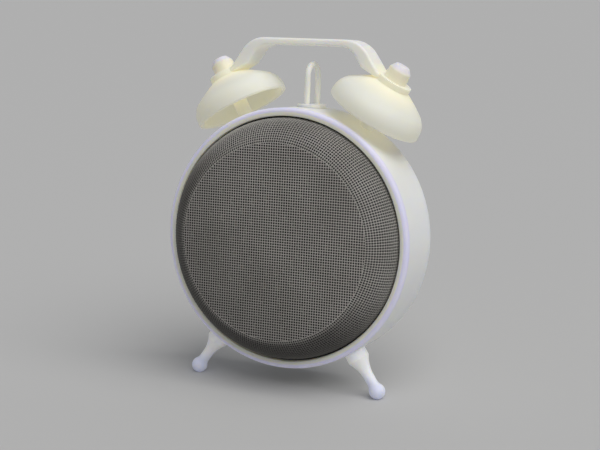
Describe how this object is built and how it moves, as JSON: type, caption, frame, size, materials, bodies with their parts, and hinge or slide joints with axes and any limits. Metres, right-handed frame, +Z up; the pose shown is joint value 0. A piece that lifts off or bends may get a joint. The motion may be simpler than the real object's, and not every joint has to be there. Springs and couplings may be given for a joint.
{
  "type": "talking clock",
  "caption": "Twin bell style talking clock: round drum with a cloth covered speaker front, two bells, carrying handle, wire striker, turned legs and keys on the back.",
  "frame": {"origin": "on the table plane, under the middle of the clock's outline seen from above", "axes": "+X to the clock's right hand side as the picture shows it, +Y to the back, +Z up; the drum leans back 5 degrees"},
  "size_m": [0.1066, 0.0686, 0.1419],
  "materials": {
    "ivory": "satin, slightly translucent",
    "speaker_cloth": "woven mesh",
    "dark_plastic": "matt",
    "key_plastic": "matt",
    "tray_plastic": "matt",
    "board": "satin",
    "black_parts": "satin",
    "plated_steel": "plated",
    "magnet": "matt",
    "paper": "matt",
    "copper": "enamelled",
    "cell_sleeve": "sleeved",
    "lead_insulation": "satin"
  },
  "bodies": {
    "clock": {"battery_cell_1": "cell_sleeve", "battery_cell_2": "cell_sleeve", "battery_cell_3": "cell_sleeve", "battery_contacts": "plated_steel", "battery_leads": "lead_insulation", "battery_springs": "plated_steel", "battery_tray": "tray_plastic", "bell_knob_left": "ivory", "bell_knob_right": "ivory", "bell_left": "ivory", "bell_nuts": "plated_steel", "bell_post_left": "ivory", "bell_post_right": "ivory", "bell_right": "ivory", "board_screws": "plated_steel", "capacitors": "black_parts", "case_screws": "plated_steel", "case_shell": "ivory", "front_frame": "dark_plastic", "front_leg_left": "ivory", "front_leg_right": "ivory", "grille_cloth": "speaker_cloth", "grille_shell": "dark_plastic", "handle": "ivory", "leg_nuts": "plated_steel", "main_board": "board", "rear_cover": "ivory", "rear_leg": "ivory", "rear_leg_screw": "plated_steel", "slide_switch": "black_parts", "speaker_basket": "plated_steel", "speaker_gasket": "dark_plastic", "speaker_leads": "lead_insulation", "speaker_magnet": "magnet", "speaker_screws": "plated_steel", "speaker_spider": "paper", "speaker_surround": "paper", "speaker_top_plate": "plated_steel", "speaker_yoke": "plated_steel", "striker_coil": "copper", "striker_collar": "ivory", "tact_switches": "black_parts", "tray_screws": "plated_steel", "voice_chip": "black_parts", "volume_control": "black_parts"},
    "striker": {"striker_wire": "ivory", "striker_rocker": "dark_plastic", "striker_pin": "plated_steel"},
    "speaker_diaphragm": {"speaker_cone": "paper", "dust_cap": "paper", "voice_coil": "copper"},
    "alarm_key_body": {"alarm_key": "key_plastic"},
    "minute_key_body": {"minute_key": "key_plastic"},
    "hour_key_body": {"hour_key": "key_plastic"},
    "talk_key_body": {"talk_key": "key_plastic"},
    "alarm_slider_body": {"alarm_slider": "key_plastic"},
    "volume_wheel_body": {"volume_wheel": "key_plastic"},
    "battery_door_body": {"battery_door": "ivory"}
  },
  "joints": [
    {"name": "striker_rock", "type": "hinge", "parent": "clock", "child": "striker", "pos_m": [0.0022, 0.00302, 0.10898], "axis": [0, -0.9962, 0.0872], "range_deg": [-9, 9], "stiffness_Nm_per_rad": 0.002},
    {"name": "diaphragm_slide", "type": "slide", "parent": "clock", "child": "speaker_diaphragm", "axis": [0, -0.9962, 0.0872], "range_m": [-0.00025, 0.00025], "stiffness_N_per_m": 900},
    {"name": "alarm_key_press", "type": "slide", "parent": "clock", "child": "alarm_key_body", "axis": [0, -0.9962, 0.0872], "range_m": [0, 0.0008], "stiffness_N_per_m": 300, "springref_m": -0.001},
    {"name": "minute_key_press", "type": "slide", "parent": "clock", "child": "minute_key_body", "axis": [0, -0.9962, 0.0872], "range_m": [0, 0.0008], "stiffness_N_per_m": 300, "springref_m": -0.001},
    {"name": "hour_key_press", "type": "slide", "parent": "clock", "child": "hour_key_body", "axis": [0, -0.9962, 0.0872], "range_m": [0, 0.0008], "stiffness_N_per_m": 300, "springref_m": -0.001},
    {"name": "talk_key_press", "type": "slide", "parent": "clock", "child": "talk_key_body", "axis": [0, -0.9962, 0.0872], "range_m": [0, 0.0008], "stiffness_N_per_m": 300, "springref_m": -0.001},
    {"name": "alarm_slide", "type": "slide", "parent": "clock", "child": "alarm_slider_body", "axis": [0, 0.0872, 0.9962], "range_m": [0, 0.005]},
    {"name": "volume_turn", "type": "hinge", "parent": "clock", "child": "volume_wheel_body", "pos_m": [-0.0092, 0.00566, 0.09218], "axis": [0, 0.0872, 0.9962], "range_deg": [-135, 135]},
    {"name": "battery_door_slide", "type": "slide", "parent": "clock", "child": "battery_door_body", "axis": [0, 0.0872, 0.9962], "range_m": [0, 0.0055]}
  ]
}
